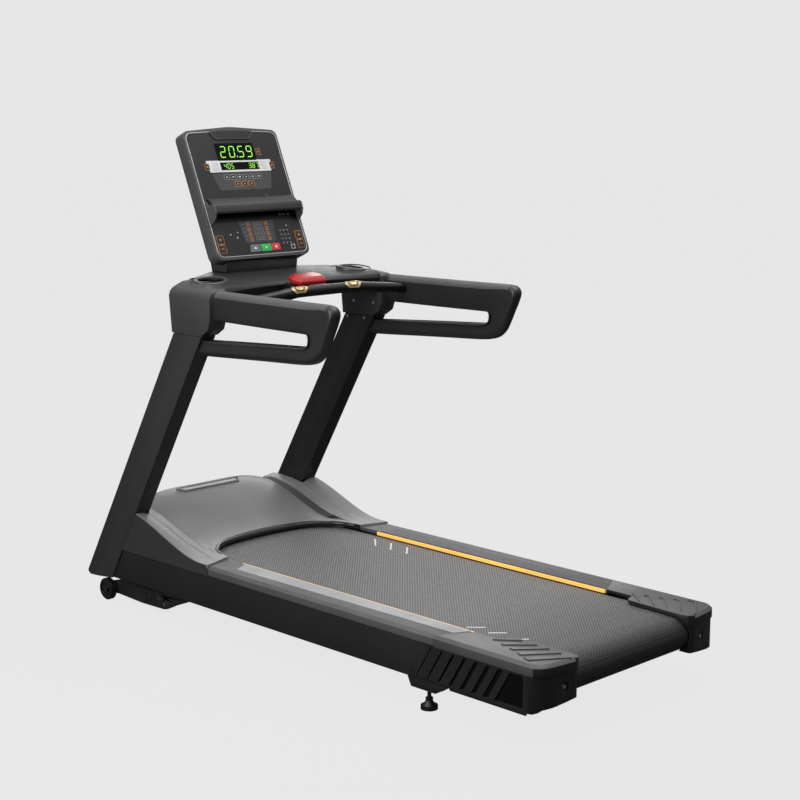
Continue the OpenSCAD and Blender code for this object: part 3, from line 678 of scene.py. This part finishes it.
# lower panel
mid = [(-76, 108), (76, 108), (66, 34), (60, 28), (-60, 28), (-66, 34)]
printed("keypad_area", [mid], "face_light", 0.25, 0.8)
orange_places = [(x, z) for x in (-38, 40) for z in (94, 76, 58, 41)]
cols_orange = [ring(x, z, 14, 13, 2, 1.3) for x, z in orange_places]
printed("keypad_orange", cols_orange, "orange_print", 0.8, 1.3, rings=True)
cols_grey = [ring(x, z, 11, 12, 2, 1.2) for x in (-12, 3, 18) for z in (94, 77, 60, 43)]
printed("keypad_grey", cols_grey, "grey_print", 0.8, 1.3, rings=True)
printed("keypad_glyphs", [rect(x, z, 4, 4, 1) for x, z in orange_places], "orange_print", 0.8, 1.4)
printed("keypad_marks", [rect(-60 + 3 * (i % 2), 96 - 14 * i, 9, 3, 1) for i in range(5)],
        "blue_print", 0.8, 1.1)
shift = [(-58, -4), (-52, 22), (-12, 22), (-12, -4)]
key = printed("key_shift", [shift], "key_grey", 0.25, 2.4)
soften(key, 0.8 * MM, 2)
printed("key_shift_mark", [rect(-34, 9, 8, 7, 1)], "white_print", 2.4, 2.6)
pad = [rect(96 + 16 * c, 66 - 15 * r, 5.5, 4.5, 1) for c in range(3) for r in range(4)]
printed("number_marks", pad, "grey_print", 0.25, 0.7)
printed("number_enter", [ring(134, 6, 17, 16, 2, 1.6)], "white_print", 0.25, 0.8, rings=True)
dots = [rect(-122, 62, 4, 4, 1), rect(-96, 50, 5, 5, 1), rect(-90, 68, 3, 3, 1), rect(128, 82, 4, 4, 1)]
printed("panel_dots", dots, "white_print", 0.25, 0.7)
for x, word in ((-172, "incline"), (172, "speed")):
    printed(f"{word}_outline", [ring(x, z, 31, 30, 4, 1.7) for z in (14, 46)], "orange_print",
            0.25, 0.9, rings=True)
    printed(f"{word}_dot", [rect(x, 30, 4, 4, 1)], "white_print", 0.25, 0.8)
    for z, way in ((14, "down"), (46, "up")):
        sign = [rect(x, z, 11, 2.6)]
        if way == "up":
            sign += [rect(x, z + 3.4, 2.6, 4.2), rect(x, z - 3.4, 2.6, 4.2)]
        printed(f"{word}_{way}_sign", sign, "orange_print", 2.2, 2.5, f"key_{word}_{way}")
printed("start_sign", [[(11, 4), (19, 9), (11, 14)]], "white_print", 2.2, 2.5, "key_start")
printed("stop_sign", [rect(57, 10, 8, 8)], "white_print", 2.2, 2.5, "key_stop")

# reading shelf with its dark recess
shelf_pts = [(-1, 170), (-5, 160), (-14, 154), (-30, 151), (-36, 153), (-39, 157), (-42, 157), (-43, 153),
             (-42, 141), (-39, 131), (-34, 126), (-27, 128), (-14, 141), (-1, 146)]


def along_console(name, pts, x0, x1, mat, edge_mm):
    """A side profile drawn across the console from x0 to x1."""
    verts, faces = slabs([pts], x0, x1, lambda y, v, x: (x * MM, y * MM, v * MM))
    o = piece(name, verts, faces, mat, "frame", place)
    return soften(o, edge_mm * MM, 3, 24.0)


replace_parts(along_console("reading_ledge", shelf_pts, -187, 187, "shelf", 1.2), "reading_shelf")
cheek = [(-1, 184), (-5, 178), (-16, 160), (-34, 160), (-43, 152), (-42, 128), (-32, 112), (-10, 99),
         (-1, 97)]
along_console("ledge_cheek_left", cheek, -192, -186, "shell", 1.5)
along_console("ledge_cheek_right", cheek, 186, 192, "shell", 1.5)
printed("recess_back", [rect(0, 127, 372, 42, 3)], "black_gloss", 0.25, 1.2)
channel = [(-1, 188), (-10, 188), (-22, 176), (-33, 156), (-30, 150), (-1, 150)]
along_console("ledge_channel", channel, -184, 184, "key_dark", 1.0)
tab = printed("shelf_tab", [rect(70, 184, 9, 22, 3)], "face_light", 8.0, 12.0)
soften(tab, 1.0 * MM, 2)
ports = [rect(112, 122, 7, 5, 1), rect(128, 122, 12, 4, 1), rect(150, 122, 6, 6, 2)]
printed("recess_ports", ports, "grey_print", 1.2, 1.6)


# ---------------------------------------------------------------- belt and rails
def marks_on(name, lines, width, z, height, mat):
    """Thin raised lines, each between two plan points."""
    outlines = []
    for (x0, y0), (x1, y1) in lines:
        d = Vector((x1 - x0, y1 - y0)).normalized() * width / 2
        outlines.append([(x0 - d.y, y0 + d.x), (x0 + d.y, y0 - d.x),
                         (x1 + d.y, y1 - d.x), (x1 - d.y, y1 + d.x)])
    verts, faces = slabs(outlines, z, z + height, up)
    o = piece(name, verts, faces, mat)
    return o


belt_top = node_box("running_belt")[1][2]
ticks = [((257, 281), (197, 216)), ((257, 201), (197, 143)), ((257, 123), (197, 67)),
         ((-251, -622), (-211, -662)), ((-245, -702), (-207, -740)), ((-238, -790), (-207, -821))]
marks_on("belt_ticks", ticks, 5.0, belt_top - 0.05, 0.35, "white_print")

rail_top = node_box("side_rail_left")[1][2]
line = ((-303.0, -684.0), (-303.0, 318.0))
marks_on("strip_line_left", [line], 3.0, rail_top, 1.2, "tread_edge")

# ---------------------------------------------------------------- end caps: five raised slats each
SLATS = [((312, -792), (266, -850), (316, -783)), ((332, -836), (266, -903), (325, -822)),
         ((344, -882), (268, -949), (340, -866)), ((362, -928), (274, -996), (356, -908)),
         ((382, -970), (284, -1040), (374, -948))]
cap_top = node_box("end_cap_right")[1][2]


def bar_outline(a, b, wa, wb, side):
    """Tapered bar between two plan points."""
    a, b = Vector(a), Vector(b)
    n = Vector((a.y - b.y, b.x - a.x)).normalized()
    return [(side * p.x, p.y) for p in (a + n * wa, b + n * wb, b - n * wb, a - n * wa)]


for side, word in SIDES:
    outlines = [bar_outline(a, b, 2.6, 1.2, side) for a, b, h in SLATS]
    outlines += [bar_outline(a, h, 2.6, 1.6, side) for a, b, h in SLATS]
    verts, faces = slabs(outlines, cap_top - 0.5, cap_top + 3.4, up)
    o = piece(f"cap_slats_{word}", verts, faces, "cap_top")
    soften(o, 1.0 * MM, 2)
    cap = nodes[f"end_cap_{word}"]
    cap.data.materials.append(mats["cap_top"])
    for f in cap.data.polygons:
        if f.center.z > 0.2 and (f.normal.z > 0.4 or abs(f.center.x) > 0.404):
            f.material_index = 1
    back = [(-980, 100), (-980, 190), (-604, 190), (-640, 100)]
    verts, faces = slabs([back], 402.02, 402.35, lambda y, z, x: (side * x * MM, y * MM, z * MM))
    o = piece(f"slot_shade_{word}", verts, faces, "black_gloss")

# the far tread strips take the darker copy as painted shade; the near ones keep their own lighter grey
far = nodes["rail_tread_strips"]
far.data.materials.append(mats["rail_band_painted_shade"])
for f in far.data.polygons:
    if f.center.x > 0:
        f.material_index = 1

# ---------------------------------------------------------------- inner skirts and front shroud
for side, word in SIDES:
    strip = [(side * 290.8, -778), (side * 300.5, -778), (side * 300.5, 396), (side * 290.8, 396)]
    verts, faces = slabs([strip], 203.0, 207.0, up)
    o = piece(f"deck_skirt_{word}", verts, faces, "pan_plastic")
    soften(o, 0.8 * MM, 2)
front = [(-338, 156), (338, 156), (338, 232), (300, 244), (0, 250), (-300, 244), (-338, 232)]
verts, faces = slabs([front], 950.0, 953.0, ahead)
ribs, rib_faces = slabs([rect(x, 200, 6, 78, 2) for x in range(-300, 301, 50)], 952.5, 956.0, ahead)
faces += [[i + len(verts) for i in f] for f in rib_faces]
o = piece("front_shroud", verts + ribs, faces, "pan_plastic")
soften(o, 0.8 * MM, 2)

# ---------------------------------------------------------------- cup holders
for side, word in SIDES:
    # the tray lies in the cowl's own slope, the ring in a steeper one
    tip = Matrix.Translation((side * 0.310, 0.448, 1.1402)) @ turned(-2.2 * side, "Y") @ turned(6.0, "X")
    roof = tip @ turned(7.5 * side, "Y") @ turned(-1.5, "X")
    verts, faces = [], []
    profile = [(44.2, -15), (44.8, 3.5), (48.0, 5.6), (53.5, 4.6), (55.5, 1.5), (55.5, -15)]
    n = 56
    for r, z in profile:
        verts += [up(*polar(r, i, n), z) for i in range(n)]
    for k in range(len(profile)):
        m = (k + 1) % len(profile)
        faces += [[k * n + i, k * n + (i + 1) % n, m * n + (i + 1) % n, m * n + i] for i in range(n)]
    o = piece(f"cup_ring_{word}", verts, faces, "cup_rim", place=roof)
    smooth(o, 50.0)
    tray = rect(-8 * side, 2, 156, 118, 56, 10), rect(-8 * side, 2, 151, 113, 54, 10)
    verts, faces = frames([tray], -3.0, 1.4, up)
    o = piece(f"cup_tray_{word}", verts, faces, "cup_rim", place=tip)
    soften(o, 1.0 * MM, 2)

# ---------------------------------------------------------------- motor cover lip over the belt
def arch(u):
    """How far the lip bows forward, for u from 0 in the middle to 1 at a side."""
    return 186 * max(0.0, 1 - u ** 7) ** 0.62 - 44 * u * u * min(1.0, 6.43 * (1 - u))


path = []
last = 92
for i in range(last + 1):
    t = -1 + 2 * i / last
    u = abs(math.sin(t * math.pi / 2)) ** 0.9
    x = math.copysign(u, t) * 294.0
    path.append((x, 402 + arch(min(1.0, abs(x) / 296.0)) - 5.0, 231.0))
lip = tube("cover_lip", path, lambda k: 9.0 * min(1.0, 0.3 + k / 8, 0.3 + (last - k) / 8), "cover_lip", 16)

# painted shade: faces along the foot of each side hump take the dark lip material, standing in for the
# shaded steep face there
cover = nodes["motor_cover"]
cover.data.materials.append(mats["cover_lip"])
for f in cover.data.polygons:
    if 0.2851 < abs(f.center.x) < 0.2999 and f.center.y < 0.90:
        f.material_index = 1

plate_top = node_box("cover_plate")[1][2]
seat = Matrix.Translation((0.0, 0.866, plate_top * MM - 0.0025)) @ turned(12.5, "X")
outer = [(-142, 13), (142, 13), (122, -17), (-122, -17)]
inner = [(-137, 10.5), (137, 10.5), (120, -14.5), (-120, -14.5)]
verts, faces = frames([(outer, inner)], -4.0, 3.4, up)
o = piece("plate_frame", verts, faces, "plate", place=seat)
soften(o, 0.8 * MM, 2)

# ---------------------------------------------------------------- light and backdrop
world = bpy.data.worlds.new("studio")
scene.world = world
world.use_nodes = True
wt = world.node_tree
wb = wt.nodes["Background"]
co = wt.nodes.new("ShaderNodeTexCoord").outputs["Generated"]
split = wt.nodes.new("ShaderNodeSeparateXYZ")
wt.links.new(co, split.inputs[0])
lift = wt.nodes.new("ShaderNodeMapRange")
lift.inputs["From Min"].default_value = -1.0
lift.inputs["From Max"].default_value = 1.0
wt.links.new(split.outputs["Z"], lift.inputs["Value"])
levels = ((0.30, 0.05), (0.52, 0.16), (0.72, 0.36), (0.9, 1.05))
sky = ramp_node(wt, lift.outputs["Result"], [(pos, [v] * 3) for pos, v in levels])
wt.links.new(sky, wb.inputs["Color"])
wb.inputs["Strength"].default_value = 1.0


def staged(name, verts, faces, mat, unseen):
    """A stage piece that the named kinds of ray do not meet."""
    me = bpy.data.meshes.new(name)
    me.from_pydata(verts, [], faces)
    me.materials.append(mat)
    o = bpy.data.objects.new(name, me)
    scene.collection.objects.link(o)
    for kind in unseen:
        setattr(o, f"visible_{kind}", False)
    return o


def plain(name, color, glow):
    """Even tone that the studio light hardly changes."""
    m = bpy.data.materials.new(name)
    m.use_nodes = True
    b = m.node_tree.nodes["Principled BSDF"]
    b.inputs["Base Color"].default_value = (color, color, color * 1.004, 1.0)
    b.inputs["Roughness"].default_value = 1.0
    b.inputs["Specular IOR Level"].default_value = 0.0
    b.inputs["Emission Color"].default_value = (1.0, 1.0, 1.0, 1.0)
    b.inputs["Emission Strength"].default_value = glow
    return m


# a great soft dome as the backdrop, and a floor of the same tone
verts, faces = [], []
rows, cols, dome_r = 24, 64, 40.0
for r in range(rows + 1):
    a = math.radians(-6 + 96 * r / rows)
    verts += [(*polar(dome_r * math.cos(a), c, cols), dome_r * math.sin(a)) for c in range(cols)]
for r in range(rows):
    for c in range(cols):
        d = (c + 1) % cols
        faces.append([r * cols + c, r * cols + d, (r + 1) * cols + d, (r + 1) * cols + c])
unseen = ("diffuse", "glossy", "transmission", "shadow")
dome = staged("backdrop", verts, faces, plain("backdrop_tone", 0.0, 0.799), unseen)
dome.data.polygons.foreach_set("use_smooth", [True] * len(dome.data.polygons))

floor_z = min(0.0, cad_lo.z) - 0.0005
disc = [(*polar(39.5, i, 96), floor_z) for i in range(96)]
staged("floor", disc, [list(range(96))], plain("floor_tone", 0.02, 0.778), ("diffuse", "glossy"))


def area_light(name, energy, w, h, loc, aim):
    """Rectangular soft box at loc, turned toward aim."""
    d = bpy.data.lights.new(name, "AREA")
    d.shape = "RECTANGLE"
    d.size, d.size_y = w, h
    d.energy = energy
    o = bpy.data.objects.new(name, d)
    scene.collection.objects.link(o)
    o.location = loc
    o.rotation_euler = (Vector(aim) - Vector(loc)).to_track_quat("-Z", "Y").to_euler()
    return o


area_light("top_box", 95.0, 3.4, 3.4, (0.4, -0.6, 4.6), (0.0, 0.0, 0.5))
area_light("left_box", 42.0, 1.6, 2.6, (-2.6, -0.1, 1.5), (-0.3, -0.1, 0.6))
sheen = area_light("rear_box", 30.0, 3.0, 1.2, (3.6, 3.9, 2.3), (0.0, 0.0, 0.7))
sheen.visible_camera = False
scene.view_settings.view_transform = "Standard"
scene.view_settings.look = "None"
